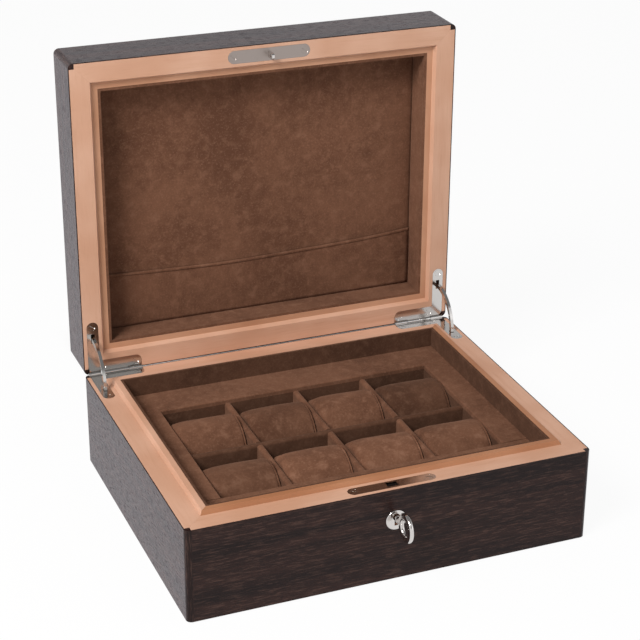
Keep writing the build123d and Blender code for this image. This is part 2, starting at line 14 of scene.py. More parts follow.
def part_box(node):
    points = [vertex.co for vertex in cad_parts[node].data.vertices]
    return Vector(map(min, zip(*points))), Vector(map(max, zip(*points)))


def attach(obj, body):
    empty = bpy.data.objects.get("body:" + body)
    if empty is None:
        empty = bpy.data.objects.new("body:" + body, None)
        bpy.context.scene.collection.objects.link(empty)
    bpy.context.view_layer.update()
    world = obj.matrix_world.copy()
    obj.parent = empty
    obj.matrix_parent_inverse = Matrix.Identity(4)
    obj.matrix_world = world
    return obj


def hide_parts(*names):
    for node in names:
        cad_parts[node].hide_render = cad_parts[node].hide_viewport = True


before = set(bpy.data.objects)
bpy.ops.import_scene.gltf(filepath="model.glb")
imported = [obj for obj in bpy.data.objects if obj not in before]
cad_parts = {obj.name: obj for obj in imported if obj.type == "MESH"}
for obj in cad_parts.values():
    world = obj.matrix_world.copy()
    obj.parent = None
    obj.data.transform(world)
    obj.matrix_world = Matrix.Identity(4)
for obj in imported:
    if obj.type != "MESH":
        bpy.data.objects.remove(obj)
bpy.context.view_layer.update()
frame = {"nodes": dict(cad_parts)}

log = logging.getLogger("watch_box")

MM = 0.001
SIDES = ("front", "back", "left", "right")
WHITE = (1.0, 1.0, 1.0, 1.0)
Number = Union[int, float]
Colour = tuple[float, float, float]
Point = tuple[float, float, float]
Span = tuple[float, float]


class Grain(Enum):
    """How grain runs: the direction along it and the two directions across it."""

    ALONG_X = ((1.0, 0.0, 0.0), (0.0, 1.0, 0.0), (0.0, 0.0, 1.0))
    ALONG_Y = ((0.0, 1.0, 0.0), (0.0, 0.0, 1.0), (1.0, 0.0, 0.0))
    ALONG_Z = ((0.0, 0.0, 1.0), (1.0, 0.0, 0.0), (0.0, 1.0, 0.0))
    ROUND_BASE = ((1.0, 1.0, 0.0), (0.0, 0.0, 1.0), (0.0, 0.0, 0.0))
    ROUND_LID = ((1.0, 0.0, 1.0), (0.0, 1.0, 0.0), (0.0, 0.0, 0.0))


class WoodTones(Enum):
    """Three tones of each light wood, from its palest to its deepest; one set is a darker copy of the
    rim wood, painted shade on the front and right lips.
    """

    RIM = ((0.655, 0.392, 0.272), (0.57, 0.312, 0.20), (0.42, 0.188, 0.098))
    # painted shade: a darker copy of the rim wood, used only on the front and right lips
    LIP = ((0.46, 0.212, 0.106), (0.38, 0.160, 0.074), (0.26, 0.098, 0.043))
    STRIP = ((0.58, 0.312, 0.190), (0.49, 0.240, 0.134), (0.34, 0.140, 0.066))


def connect(tree: bpy.types.NodeTree, socket: bpy.types.NodeSocket, value: Any) -> None:
    """Give one input its value or its link.

    Args:
        tree: The node tree that holds the input.
        socket: The input.
        value: A Shade, an output socket or a plain value.
    """
    if isinstance(value, Shade):
        tree.links.new(value.socket, socket)
    elif isinstance(value, bpy.types.NodeSocket):
        tree.links.new(value, socket)
    else:
        socket.default_value = value


def add_node(
    tree: bpy.types.NodeTree, kind: str, settings: dict[str, Any], **sockets: Any
) -> bpy.types.Node:
    """Add one node of any type.

    Args:
        tree: The node tree that it goes in.
        kind: The node's type name.
        settings: Properties of the node, set before its sockets.
        sockets: Values or links, by socket name with _ for a space.

    Returns:
        The new node.
    """
    node = tree.nodes.new(kind)
    for name, value in settings.items():
        setattr(node, name, value)
    for name, value in sockets.items():
        connect(tree, node.inputs[name.replace("_", " ")], value)
    return node


class Shade:
    """A shader socket that takes part in Python expressions."""

    def __init__(self, tree: bpy.types.NodeTree, socket: bpy.types.NodeSocket) -> None:
        """Wrap a socket.

        Args:
            tree: The node tree that holds the socket.
            socket: An output socket with a number.
        """
        self.tree = tree
        self.socket = socket

    def math(self, operation: str, other: Union["Shade", Number], swap: bool = False) -> "Shade":
        """Add a Math node that works on this value and another.

        Args:
            operation: The Math node's operation.
            other: The second input.
            swap: Whether this value is the second input instead.

        Returns:
            The result as a new value.
        """
        node = add_node(self.tree, "ShaderNodeMath", {"operation": operation})
        inputs = (other, self) if swap else (self, other)
        for socket, value in zip(node.inputs, inputs):
            connect(self.tree, socket, value)
        return Shade(self.tree, node.outputs[0])

    def __add__(self, other: Union["Shade", Number]) -> "Shade":
        """Sum of two values."""
        return self.math("ADD", other)

    __radd__ = __add__

    def __sub__(self, other: Union["Shade", Number]) -> "Shade":
        """Difference of two values."""
        return self.math("SUBTRACT", other)

    def __rsub__(self, other: Number) -> "Shade":
        """A number less this value."""
        return self.math("SUBTRACT", other, swap=True)

    def __mul__(self, other: Union["Shade", Number]) -> "Shade":
        """Product of two values."""
        return self.math("MULTIPLY", other)

    __rmul__ = __mul__

    def between(self, low: Number, high: Number) -> "Shade":
        """Rise smoothly from 0 to 1.

        Args:
            low: The value where the rise starts.
            high: The value where it ends.

        Returns:
            The result as a new value.
        """
        settings = {"interpolation_type": "SMOOTHSTEP"}
        node = add_node(
            self.tree, "ShaderNodeMapRange", settings, Value=self, From_Min=low, From_Max=high
        )
        return Shade(self.tree, node.outputs["Result"])


class Bench:
    """A material in the making: adds nodes and links them to its shader."""

    def __init__(self, name: str) -> None:
        """Start an empty material with one principled shader.

        Args:
            name: The material's name.
        """
        self.material = bpy.data.materials.new(name)
        self.material.use_nodes = True
        self.tree = self.material.node_tree
        self.shader = self.tree.nodes["Principled BSDF"]

    def add(self, kind: str, settings: dict[str, Any], **sockets: Any) -> bpy.types.Node:
        """Add one node of any type to this material."""
        return add_node(self.tree, kind, settings, **sockets)

    def place(self, scale: Point = (1.0, 1.0, 1.0)) -> bpy.types.NodeSocket:
        """Object coordinates with a scale for each axis.

        Args:
            scale: Factors for X, Y and Z.

        Returns:
            The scaled coordinates.
        """
        place = self.add("ShaderNodeTexCoord", {}).outputs["Object"]
        return self.add("ShaderNodeMapping", {}, Vector=place, Scale=scale).outputs["Vector"]

    def grained(self, grain: Grain, stretch: float) -> bpy.types.NodeSocket:
        """Object coordinates with the grain along the first axis, drawn out by a factor.

        Args:
            grain: How the grain runs.
            stretch: Factor on the coordinate along the grain.

        Returns:
            The coordinates.
        """
        place = self.add("ShaderNodeTexCoord", {}).outputs["Object"]
        joined = self.add("ShaderNodeCombineXYZ", {})
        for name, direction, factor in zip("XYZ", grain.value, (stretch, 1.0, 1.0)):
            part = self.add("ShaderNodeVectorMath", {"operation": "DOT_PRODUCT"})
            connect(self.tree, part.inputs[0], place)
            connect(self.tree, part.inputs[1], tuple(factor * share for share in direction))
            connect(self.tree, joined.inputs[name], part.outputs["Value"])
        return joined.outputs["Vector"]

    def noise(
        self,
        place: bpy.types.NodeSocket,
        scale: float,
        detail: float = 4.0,
        roughness: float = 0.55,
        distortion: float = 0.0,
    ) -> Shade:
        """A noise value over a place.

        Args:
            place: Coordinates.
            scale: Cells per metre of the coordinates.
            detail: Octaves.
            roughness: Strength of the finer octaves.
            distortion: Amount of swirl.

        Returns:
            The noise as a value about 0.5.
        """
        node = self.add(
            "ShaderNodeTexNoise",
            {},
            Vector=place,
            Scale=scale,
            Detail=detail,
            Roughness=roughness,
            Distortion=distortion,
        )
        return Shade(self.tree, node.outputs["Fac"])

    def mix(self, factor: Shade, low: Any, high: Any) -> bpy.types.NodeSocket:
        """Mix two colours.

        Args:
            factor: Share of the second colour.
            low: First colour or link.
            high: Second colour or link.

        Returns:
            The mixed colour.
        """
        node = self.add("ShaderNodeMix", {"data_type": "RGBA"})
        # The node's number, vector and colour sockets share their names, so these go by index.
        factor_input, low_input, high_input = (node.inputs[index] for index in (0, 6, 7))
        connect(self.tree, factor_input, factor)
        for socket, value in ((low_input, low), (high_input, high)):
            connect(self.tree, socket, (*value, 1.0) if isinstance(value, tuple) else value)
        return node.outputs[2]

    def bump(self, height: Shade, distance: float, strength: float) -> None:
        """Raise the surface's normal by a height.

        Args:
            height: The height value.
            distance: Height in metres for a value of 1.
            strength: Share of the effect.
        """
        node = self.add("ShaderNodeBump", {}, Height=height, Distance=distance, Strength=strength)
        self.set(Normal=node.outputs["Normal"])

    def set(self, **sockets: Any) -> None:
        """Set inputs of the shader by name, with _ for a space."""
        for name, value in sockets.items():
            connect(self.tree, self.shader.inputs[name.replace("_", " ")], value)


@dataclass(frozen=True)
class DarkVeneer:
    """Open-grained dark veneer under a thin satin lacquer."""

    grain: Grain
    dark: Colour = (0.0085, 0.0036, 0.0030)
    brown: Colour = (0.026, 0.0110, 0.0082)
    pale: Colour = (0.088, 0.046, 0.034)
    band_stretch: float = 0.05
    pore_stretch: float = 0.085
    lacquer_roughness: float = 0.23
    pore_roughness: float = 0.18
    pore_depth: float = 0.028 * MM

    def make(self) -> bpy.types.Material:
        """Build the material.

        Returns:
            The finished material.
        """
        bench = Bench(f"dark_veneer_{self.grain.name.lower()}")
        wide = bench.grained(self.grain, self.band_stretch)
        fine = bench.grained(self.grain, self.pore_stretch)
        bands = bench.noise(wide, scale=75.0, detail=3.0, roughness=0.5, distortion=0.3)
        dashes = bench.noise(fine, scale=720.0, detail=3.0, roughness=0.7)
        pores = bench.noise(fine, scale=1350.0, detail=2.0, roughness=0.6).between(0.53, 0.62)
        flecks = dashes.between(0.50, 0.62) * (bands.between(0.30, 0.62) * 0.5 + 0.5)
        body = bench.mix(bands.between(0.36, 0.64), self.dark, self.brown)
        body = bench.mix(flecks * 0.6, body, self.pale)
        body = bench.mix(pores * 0.7, body, self.dark)
        wear = bench.noise(bench.place(), scale=9.0, detail=3.0)
        roughness = wear * 0.06 + pores * self.pore_roughness + self.lacquer_roughness
        bench.set(Base_Color=body, Roughness=roughness, Specular_IOR_Level=0.165)
        bench.set(Sheen_Weight=0.09, Sheen_Roughness=0.4, Sheen_Tint=(0.80, 0.55, 0.86, 1.0))
        bench.bump(1.0 - pores * 0.8 - flecks * 0.1, distance=self.pore_depth, strength=0.4)
        return bench.material


@dataclass(frozen=True)
class LightWood:
    """Light straight-grained wood, planed and waxed."""

    grain: Grain
    tones: WoodTones
    stretch: float = 0.06
    fibre_depth: float = 0.05 * MM

    def make(self) -> bpy.types.Material:
        """Build the material.

        Returns:
            The finished material.
        """
        light, warm, deep = self.tones.value
        bench = Bench(f"{self.tones.name.lower()}_wood_{self.grain.name.lower()}")
        place = bench.grained(self.grain, self.stretch)
        rings = bench.noise(place, scale=95.0, detail=4.0, roughness=0.5, distortion=0.6)
        fibres = bench.noise(place, scale=900.0, detail=3.0, roughness=0.6)
        tone = bench.noise(bench.place(), scale=14.0, detail=2.0)
        ring_lines = rings.between(0.50, 0.66)
        body = bench.mix(tone.between(0.35, 0.7), light, warm)
        body = bench.mix(ring_lines * 0.5, body, warm)
        body = bench.mix(fibres.between(0.5, 0.8) * 0.4 * (ring_lines * 0.5 + 0.5), body, deep)
        bench.set(Base_Color=body, Roughness=0.44 + fibres * 0.14, Specular_IOR_Level=0.35)
        bench.bump(fibres, distance=self.fibre_depth, strength=0.4)
        return bench.material


@dataclass(frozen=True)
class Suede:
    """Brushed suede: soft clouds, a faint mottle and a fine nap."""

    name: str = "suede"
    tone: float = 1.0
    shade: Colour = (0.104, 0.045, 0.0255)
    body: Colour = (0.170, 0.078, 0.045)
    light: Colour = (0.262, 0.138, 0.088)
    mottle: float = 0.35
    wrinkle: float = 0.0
    nap_depth: float = 0.22 * MM

    def tinted(self, colour: Colour) -> Colour:
        """One of the colours at this suede's tone."""
        return tuple(self.tone * part for part in colour)

    def make(self) -> bpy.types.Material:
        """Build the material.

        Returns:
            The finished material.
        """
        bench = Bench(self.name)
        place = bench.place()
        clouds = bench.noise(place, scale=17.0, detail=3.0, roughness=0.5, distortion=0.2)
        brushed = bench.noise(place, scale=120.0, detail=4.0, roughness=0.6, distortion=0.3)
        nap = bench.noise(place, scale=560.0, detail=3.0, roughness=0.75)
        folds = bench.noise(place, scale=80.0, detail=2.0, roughness=0.5, distortion=0.5)
        shade, body, light = (self.tinted(colour) for colour in (self.shade, self.body, self.light))
        colour = bench.mix((clouds * 0.6 + brushed * 0.4).between(0.30, 0.62), shade, body)
        colour = bench.mix(brushed.between(0.50, 0.78) * self.mottle, colour, light)
        colour = bench.mix(nap.between(0.50, 0.72) * 0.42, colour, light)
        colour = bench.mix((1.0 - nap).between(0.52, 0.74) * 0.40, colour, shade)
        bench.set(Base_Color=colour, Roughness=0.96 - brushed * 0.06, Specular_IOR_Level=0.08)
        bench.set(Sheen_Weight=0.12, Sheen_Roughness=0.6, Sheen_Tint=(0.78, 0.50, 0.36, 1.0))
        height = nap * 0.5 + brushed * 0.5 + folds * self.wrinkle
        bench.bump(height, distance=self.nap_depth, strength=0.6)
        return bench.material


@dataclass(frozen=True)
class Metal:
    """Plated steel, polished or brushed."""

    name: str
    colour: Colour
    roughness: float
    brushing: float = 0.0
    smear: float = 0.10
    hair: float = 0.15
    scratch_depth: float = 0.02 * MM

    def make(self) -> bpy.types.Material:
        """Build the material.

        Returns:
            The finished material.
        """
        bench = Bench(self.name)
        smears = bench.noise(bench.place(), scale=220.0, detail=4.0)
        hairs = bench.noise(bench.place((0.05, 1.0, 1.0)), scale=3200.0, detail=2.0)
        smoothest = self.roughness - self.smear / 2
        roughness = smears * self.smear + hairs * (self.hair * self.brushing) + smoothest
        bench.set(Base_Color=(*self.colour, 1.0), Metallic=1.0, Roughness=roughness)
        height = hairs * self.brushing + smears * 0.2
        bench.bump(height, distance=self.scratch_depth, strength=0.5)
        return bench.material


@dataclass(frozen=True)
class Felt:
    """Pressed felt or plain board: fine, dull and evenly flecked."""

    name: str
    dark: Colour
    light: Colour
    fleck_scale: float
    fleck_depth: float = 0.2 * MM

    def make(self) -> bpy.types.Material:
        """Build the material.

        Returns:
            The finished material.
        """
        bench = Bench(self.name)
        flecks = bench.noise(bench.place(), scale=self.fleck_scale, detail=4.0, roughness=0.7)
        bench.set(Base_Color=bench.mix(flecks.between(0.3, 0.7), self.dark, self.light))
        bench.set(Roughness=0.9 + flecks * 0.08, Specular_IOR_Level=0.15)
        bench.bump(flecks, distance=self.fleck_depth, strength=0.6)
        return bench.material


def shade_smooth(mesh: bpy.types.Mesh) -> None:
    """Shade every face of a mesh smooth."""
    for face in mesh.polygons:
        face.use_smooth = True


def new_piece(name: str, mesh: bmesh.types.BMesh, material: bpy.types.Material) -> bpy.types.Object:
    """Turn a finished bmesh into an object at the origin.

    Args:
        name: The piece's name.
        mesh: Its geometry, which is freed.
        material: Its finish.

    Returns:
        The new object.
    """
    data = bpy.data.meshes.new(name)
    mesh.to_mesh(data)
    mesh.free()
    data.materials.append(material)
    shade_smooth(data)
    piece = bpy.data.objects.new(name, data)
    bpy.context.scene.collection.objects.link(piece)
    return piece


def apply_modifiers(piece: bpy.types.Object) -> None:
    """Replace a piece's mesh by what its modifiers make of it.

    Args:
        piece: The piece.
    """
    graph = bpy.context.evaluated_depsgraph_get()
    mesh = bpy.data.meshes.new_from_object(piece.evaluated_get(graph))
    old = piece.data
    piece.modifiers.clear()
    piece.data = mesh
    bpy.data.meshes.remove(old)


def report(piece: bpy.types.Object) -> None:
    """Log a finished piece's name and its count of faces."""
    log.info("%s has %d faces", piece.name, len(piece.data.polygons))


@dataclass(frozen=True)
class Upholstery:
    """Fills a closed cover by a short cloth simulation, and rounds it by subdivision."""

    levels: int = 2
    most: float = 0.5 * MM
    frames: int = 18
    quality: int = 5
    mass: float = 0.2
    pressure: float = 4.0
    tension: float = 12.0
    compression: float = 6.0
    shear: float = 4.0
    bending: float = 0.4
    growth: float = 0.03

    def swell(self, piece: bpy.types.Object) -> None:
        """Blow a cover up, keeping each point near its start.

        Args:
            piece: A closed mesh.
        """
        start = [vertex.co.copy() for vertex in piece.data.vertices]
        settings = piece.modifiers.new("cloth", "CLOTH").settings
        settings.quality = self.quality
        settings.mass = self.mass
        settings.tension_stiffness = self.tension
        settings.compression_stiffness = self.compression
        settings.shear_stiffness = self.shear
        settings.bending_stiffness = self.bending
        settings.use_pressure = True
        settings.uniform_pressure_force = self.pressure
        settings.shrink_min = -self.growth
        settings.effector_weights.gravity = 0.0
        for number in range(1, self.frames + 1):
            bpy.context.scene.frame_set(number)
        apply_modifiers(piece)
        bpy.context.scene.frame_set(1)
        for vertex, old in zip(piece.data.vertices, start):
            move = vertex.co - old
            if move.length > self.most:
                vertex.co = old + move * (self.most / move.length)

    def fill(self, piece: bpy.types.Object) -> None:
        """Give a cover its filled and rounded shape.

        Args:
            piece: A closed mesh.
        """
        self.swell(piece)
        smooth = piece.modifiers.new("smooth", "SUBSURF")
        smooth.levels = self.levels
        smooth.render_levels = self.levels
        apply_modifiers(piece)
        shade_smooth(piece.data)


@dataclass(frozen=True)
class WatchPillow:
    """One suede pillow: a filled roll, drawn in at its left end, with a capped right end.

    The lists of the outline's ends hold insets in mm and shares of the radius.
    """

    name: str
    suede: bpy.types.Material
    segments: int = 72
    inset: float = 0.2 * MM
    merge_distance: float = 0.02 * MM
    drawn_end: tuple[Span, ...] = ((1.2, 0.0), (0.8, 0.3), (0.6, 0.6))
    corner: float = 5.5 * MM
    corner_steps: int = 6
    crown: float = 0.7 * MM
    crown_steps: int = 9
    crown_shift: float = 0.15
    crown_power: float = 0.6
    seam_run: float = 1.2 * MM
    seam_edge: tuple[Span, ...] = ((0.6, 0.985), (0.0, 0.975))
    seam_depth: float = 1.2 * MM
    seam_width: float = 1.3 * MM
    cap_width: float = 2.4 * MM
    cap_share: float = 0.972
    cap_end: tuple[Span, ...] = (
        (0.9, 0.972), (0.2, 0.955), (0.0, 0.90), (0.0, 0.6), (0.0, 0.3), (0.3, 0.0),
    )
    gathers: float = 17.0
    gather_depth: float = 0.35 * MM
    gather_reach: float = 0.22
    wave_scale: float = 42.0
    wave_height: float = 0.5 * MM
    drawn_in: float = 0.3 * MM
    rest_height: float = 0.1 * MM

    def outline(self, radius: float, length: float) -> list[Span]:
        """Half outline of the roll, from its left end's middle to its right end's.

        Args:
            radius: The roll's largest radius.
            length: The roll's length.

        Returns:
            Points as a place along the roll and a radius.
        """
        half = length / 2
        points = [(-half + inset * MM, radius * share) for inset, share in self.drawn_end]
        for step in range(self.corner_steps, -1, -1):
            angle = math.pi / 2 * step / self.corner_steps
            along = -half + self.corner * (1 - math.sin(angle))
            points.append((along, radius - self.crown - self.corner * (1 - math.cos(angle))))
        start = points[-1][0]
        seam = half - self.cap_width
        for step in range(1, self.crown_steps):
            share = step / self.crown_steps
            rise = math.sin(math.pi * min(1.0, share + self.crown_shift)) ** self.crown_power
            along = start + (seam - self.seam_run - start) * share
            points.append((along, radius - self.crown / 2 * (1 - rise)))
        points += [(seam - inset * MM, radius * share) for inset, share in self.seam_edge]
        cap = radius * self.cap_share
        points.append((seam + self.seam_width / 2, cap - self.seam_depth))
        points.append((seam + self.seam_width, cap))
        points += [(half - inset * MM, radius * share) for inset, share in self.cap_end]
        return points

    def build(self) -> bpy.types.Object:
        """Model the pillow in its CAD solid's place.

        Returns:
            The finished piece.
        """
        low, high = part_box(self.name)
        middle = (low + high) / 2
        length = high.x - low.x
        radius = (high.y - low.y) / 2 - self.inset
        mesh = bmesh.new()
        outline = self.outline(radius, length)
        vertices = [mesh.verts.new((middle.x + x, middle.y, middle.z + r)) for x, r in outline]
        edges = [mesh.edges.new(pair) for pair in zip(vertices, vertices[1:])]
        bmesh.ops.spin(
            mesh,
            geom=vertices + edges,
            cent=middle,
            axis=(1.0, 0.0, 0.0),
            angle=math.tau,
            steps=self.segments,
            use_merge=True,
        )
        bmesh.ops.remove_doubles(mesh, verts=mesh.verts, dist=self.merge_distance)
        bmesh.ops.recalc_face_normals(mesh, faces=mesh.faces)
        self.crease(mesh, middle, length, radius)
        piece = new_piece(self.name.replace("pillow", "watch_pillow"), mesh, self.suede)
        Upholstery().fill(piece)
        self.settle(piece, low, high)
        return piece

    def crease(self, mesh: bmesh.types.BMesh, middle: Vector, length: float, radius: float) -> None:
        """Give the cover its soft waves and its gathers at the drawn-in end.

        Args:
            mesh: The pillow's mesh.
            middle: Its centre.
            length: Its length.
            radius: Its radius.
        """
        for vertex in mesh.verts:
            out = Vector((0.0, vertex.co.y - middle.y, vertex.co.z - middle.z))
            if out.length < self.merge_distance:
                continue
            along = (vertex.co.x - middle.x) / length + 0.5
            near_end = max(0.0, 1.0 - along / self.gather_reach) * min(1.0, out.length / radius)
            gather = math.sin(math.atan2(out.z, out.y) * self.gathers) * self.gather_depth * near_end
            wave = noise.noise(vertex.co * self.wave_scale) * self.wave_height
            vertex.co += out.normalized() * (wave + gather - self.drawn_in)

    def settle(self, piece: bpy.types.Object, low: Vector, high: Vector) -> None:
        """Keep the pillow inside its compartment's space, flat where it rests.

        Args:
            piece: The pillow.
            low: The CAD solid's lowest corner.
            high: The CAD solid's highest corner.
        """
        for vertex in piece.data.vertices:
            vertex.co.x = min(max(vertex.co.x, low.x), high.x)
            vertex.co.z = max(vertex.co.z, low.z + self.rest_height)


@dataclass(frozen=True)
class LidLining:
    """The lid's padded panel and the pocket in front of its lower part."""

    suede: bpy.types.Material
    cells: int = 72
    edge_roll: float = 5.0 * MM
    roll_depth: float = 1.8 * MM
    swell: float = 0.35 * MM
    swell_scale: float = 16.0
    pocket_rows: int = 18
    pocket_setback: float = 0.35 * MM
    pocket_thickness: float = 0.8 * MM
    left_height: float = 51.0 * MM
    right_height: float = 54.0 * MM
    dip: float = 5.2 * MM
    cut_share: float = 0.915
    edge_wave: float = 0.5 * MM
    edge_wave_scale: float = 14.0
    bulge: float = 0.25 * MM
    ripple: float = 0.2 * MM
    ripple_scale: float = 20.0
    hem_rows: int = 4
    hem_height: float = 2.6 * MM
    hem_lift: float = 0.25 * MM
    hem_gap: float = 0.45 * MM
    hem_proud: float = 0.45 * MM
    hem_thickness: float = 0.7 * MM

    def panel(self) -> bpy.types.Object:
        """Model the padded panel, crowned and rolled in at its edges.

        Returns:
            The finished piece.
        """
        low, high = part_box("lid_padded_panel")
        size = high - low
        middle = (low + high) / 2
        upright = Matrix.Rotation(math.radians(90), 3, "X")
        mesh = bmesh.new()
        bmesh.ops.create_grid(mesh, x_segments=self.cells, y_segments=self.cells, size=0.5)
        bmesh.ops.scale(mesh, vec=(size.x, size.z, 1.0), verts=mesh.verts)
        bmesh.ops.rotate(mesh, cent=(0.0, 0.0, 0.0), matrix=upright, verts=mesh.verts)
        bmesh.ops.translate(mesh, vec=(middle.x, low.y, middle.z), verts=mesh.verts)
        rim = [edge for edge in mesh.edges if edge.is_boundary]
        back = bmesh.ops.extrude_edge_only(mesh, edges=rim)
        moved = [item for item in back["geom"] if isinstance(item, bmesh.types.BMVert)]
        bmesh.ops.translate(mesh, vec=(0.0, size.y, 0.0), verts=moved)
        bmesh.ops.contextual_create(mesh, geom=[edge for edge in mesh.edges if edge.is_boundary])
        bmesh.ops.recalc_face_normals(mesh, faces=mesh.faces)
        for vertex in mesh.verts:
            if vertex.co.y > middle.y:
                continue
            side = min(vertex.co.x - low.x, high.x - vertex.co.x)
            end = min(vertex.co.z - low.z, high.z - vertex.co.z)
            near_edge = max(0.0, 1.0 - min(side, end) / self.edge_roll)
            wave = noise.noise(vertex.co * self.swell_scale) * self.swell * (1.0 - near_edge)
            vertex.co.y += self.roll_depth * near_edge * near_edge + wave
        return new_piece("padded_lid_panel", mesh, self.suede)

    def pocket_height(self, across: float, x: float) -> float:
        """Height of the pocket's top edge above its bottom.

        Args:
            across: Share of the way from left to right.
            x: The same place in metres.

        Returns:
            The height in metres.
        """
        straight = self.left_height + (self.right_height - self.left_height) * across
        wave = noise.noise((x * self.edge_wave_scale, 0.0, 0.0)) * self.edge_wave
        return straight - self.dip * 4 * across * (1 - across) + wave

    def strip(
        self,
        name: str,
        columns: int,
        rows: int,
        thickness: float,
        shape: Callable[[float, float], Vector],
    ) -> bpy.types.Object:
        """Model one strip of cloth in front of the panel.

        Args:
            name: The piece's name.
            columns: Faces from left to right.
            rows: Faces from bottom to top.
            thickness: The cloth's thickness, half to each side.
            shape: Gives the point at a share of the way across and up.

        Returns:
            The finished piece.
        """
        mesh = bmesh.new()
        bmesh.ops.create_grid(mesh, x_segments=columns, y_segments=rows, size=0.5)
        for vertex in mesh.verts:
            vertex.co = shape(vertex.co.x + 0.5, vertex.co.y + 0.5)
        bmesh.ops.recalc_face_normals(mesh, faces=mesh.faces)
        piece = new_piece(name, mesh, self.suede)
        wall = piece.modifiers.new("thickness", "SOLIDIFY")
        wall.thickness = thickness
        wall.offset = 0.0
        apply_modifiers(piece)
        return piece

    def pocket(self) -> tuple[bpy.types.Object, bpy.types.Object]:
        """Model the pocket's sheet and the hem along its top edge.

        Returns:
            The sheet and the hem.
        """
        low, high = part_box("lid_pocket")
        width = high.x - low.x
        front = low.y + self.pocket_setback

        def sheet_point(across: float, up: float) -> Vector:
            """Place one point of the sheet.

            Args:
                across: Share of the way from left to right.
                up: Share of the way from bottom to top.

            Returns:
                The point.
            """
            x = low.x + across * width
            ripple = noise.noise((x * self.ripple_scale, up, 2.0)) * self.ripple
            bulge = math.sin(math.pi * up) * self.bulge + ripple
            return Vector((x, front - bulge, low.z + up * self.pocket_height(across, x)))

        def hem_point(across: float, up: float) -> Vector:
            """Place one point of the hem.

            Args:
                across: Share of the way from left to right.
                up: Share of the way from the hem's seam to its top.

            Returns:
                The point.
            """
            x = low.x + across * width
            depth = self.hem_gap + math.sin(math.pi * up) * self.hem_proud
            height = self.pocket_height(across, x) - self.hem_height * (1 - up) + self.hem_lift
            return Vector((x, front - depth, low.z + height))

        sheet = self.strip(
            "pocket_sheet", self.cells, self.pocket_rows, self.pocket_thickness, sheet_point
        )
        hem = self.strip("pocket_hem", self.cells * 2, self.hem_rows, self.hem_thickness, hem_point)
        return sheet, hem

    def build(self) -> None:
        panel = self.panel()
        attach(panel, "lid")
        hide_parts("lid_padded_panel")
        pocket, hem = self.pocket()
        for piece in (pocket, hem):
            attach(piece, "lid")
        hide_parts("lid_pocket")
        for piece in (panel, pocket, hem):
            report(piece)


@dataclass(frozen=True)
class PillowSet:
    """The eight watch pillows, each with its own tone of suede, from left to right; the tones are
    partly the suede's own and partly painted shade.
    """

    # partly painted shade: each tone copies how bright that pillow looks under the light, darkest on
    # the back row's right pillow
    back: tuple[float, ...] = (0.98, 0.82, 1.00, 0.60)
    front: tuple[float, ...] = (0.80, 1.16, 1.14, 0.98)
    mottle: float = 0.55
    wrinkle: float = 1.0

    def build(self) -> None:
        """Model every pillow and put it on its body."""
        for row, tones in (("back", self.back), ("front", self.front)):
            for number, tone in enumerate(tones, start=1):
                node = f"{row}_pillow_{number}"
                suede = Suede(f"{node}_suede", tone, mottle=self.mottle, wrinkle=self.wrinkle).make()
                piece = WatchPillow(node, suede).build()
                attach(piece, node)
                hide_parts(node)
                report(piece)


